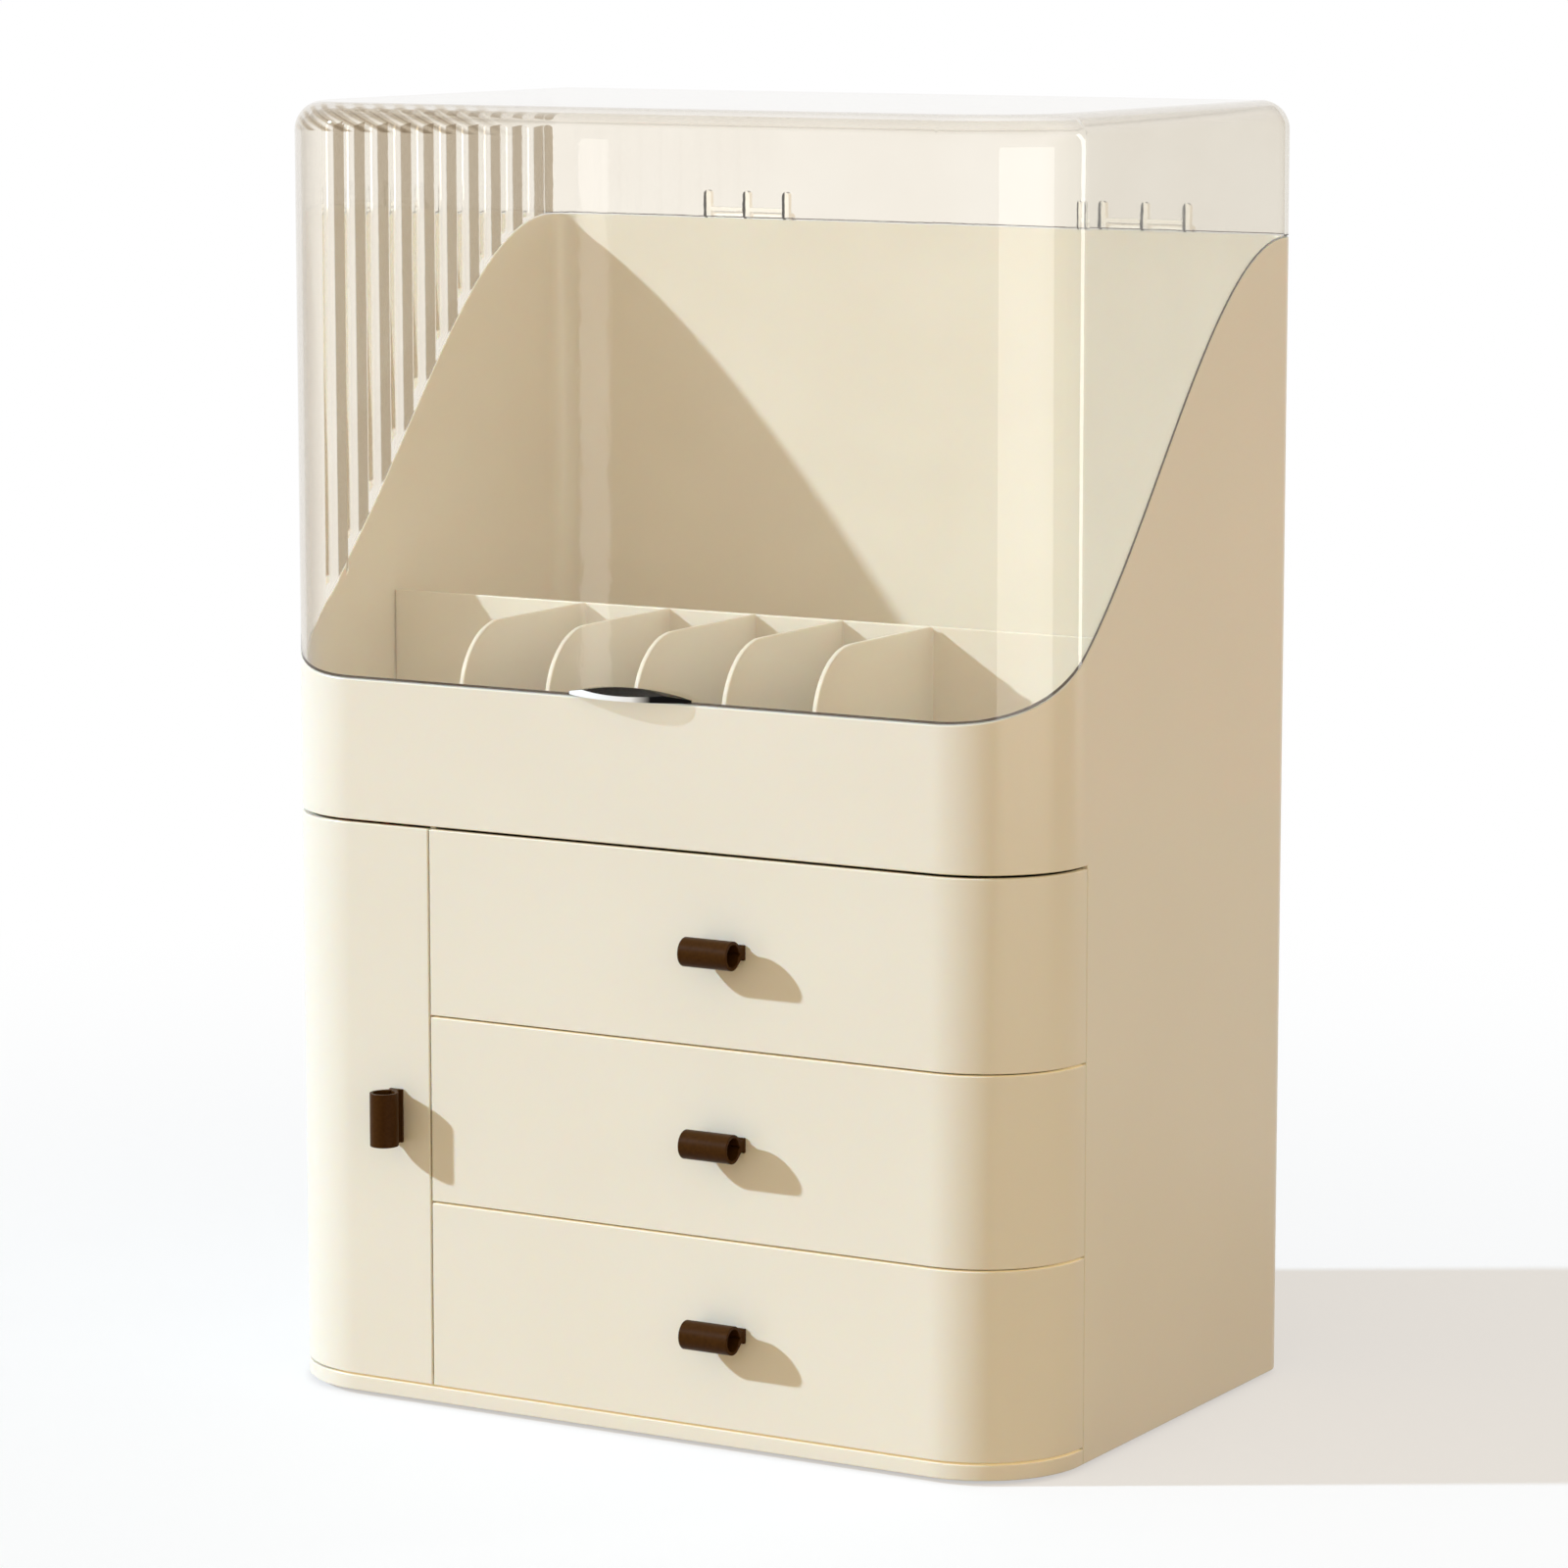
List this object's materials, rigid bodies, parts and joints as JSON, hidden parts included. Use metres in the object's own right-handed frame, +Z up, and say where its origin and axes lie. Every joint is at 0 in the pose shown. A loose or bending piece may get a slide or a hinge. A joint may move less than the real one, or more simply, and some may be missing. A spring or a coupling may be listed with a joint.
{
  "type": "makeup organizer",
  "caption": "Free-standing cosmetics cabinet with wrap-round drawers, a side door, an open divided tray and a clear hood that tips back.",
  "frame": {"origin": "middle of the box's footprint, on the surface that the feet stand on", "axes": "+X to the right seen from the front, +Y to the back, +Z up"},
  "size_m": [0.33, 0.2338, 0.49],
  "materials": {
    "cream_plastic": "cream, semi-gloss moulded plastic",
    "drawer_bin_plastic": "cream, satin moulded plastic",
    "clear_hood": "clear polished plastic, fluted on the left side",
    "clear_hinge": "clear moulded plastic",
    "brown_handle": "dark brown, satin",
    "steel": "plated",
    "foot_rubber": "matt"
  },
  "bodies": {
    "cabinet": {"body_shell": "cream_plastic", "base_plate": "cream_plastic", "feet": "foot_rubber", "base_screws": "steel", "centre_wall": "cream_plastic", "lower_deck": "cream_plastic", "upper_deck": "cream_plastic", "cabinet_shelf": "cream_plastic", "tray_floor": "cream_plastic", "rack_plate": "cream_plastic", "lipstick_rack": "cream_plastic", "door_pins": "steel", "catch_magnet": "steel", "hinge_bracket_left": "clear_hinge", "hinge_bracket_right": "clear_hinge", "hinge_pin_left": "steel", "hinge_pin_right": "steel", "hinge_screws": "steel"},
    "door_leaf": {"door": "cream_plastic", "door_handle": "brown_handle", "door_handle_screws": "steel", "catch_plate": "steel"},
    "lower_drawer": {"drawer_bin_lower": "drawer_bin_plastic", "drawer_front_lower": "cream_plastic", "drawer_handle_lower": "brown_handle", "drawer_screws_lower": "steel"},
    "middle_drawer": {"drawer_bin_middle": "drawer_bin_plastic", "drawer_front_middle": "cream_plastic", "drawer_handle_middle": "brown_handle", "drawer_screws_middle": "steel"},
    "upper_drawer": {"drawer_bin_upper": "drawer_bin_plastic", "drawer_front_upper": "cream_plastic", "drawer_handle_upper": "brown_handle", "drawer_screws_upper": "steel"},
    "hood_body": {"hood": "clear_hood", "hinge_leaf_left": "clear_hinge", "hinge_leaf_right": "clear_hinge"}
  },
  "joints": [
    {"name": "hood_tip", "type": "hinge", "parent": "cabinet", "child": "hood_body", "pos_m": [0, 0.1144, 0.439], "axis": [-1, 0, 0], "range_deg": [0, 100]},
    {"name": "door_swing", "type": "hinge", "parent": "cabinet", "child": "door_leaf", "pos_m": [-0.1618, -0.0627, 0.1149], "axis": [0, 0, -1], "range_deg": [0, 92]},
    {"name": "lower_drawer_slide", "type": "slide", "parent": "cabinet", "child": "lower_drawer", "axis": [0, -1, 0], "range_m": [0, 0.15]},
    {"name": "middle_drawer_slide", "type": "slide", "parent": "cabinet", "child": "middle_drawer", "axis": [0, -1, 0], "range_m": [0, 0.15]},
    {"name": "upper_drawer_slide", "type": "slide", "parent": "cabinet", "child": "upper_drawer", "axis": [0, -1, 0], "range_m": [0, 0.15]}
  ]
}
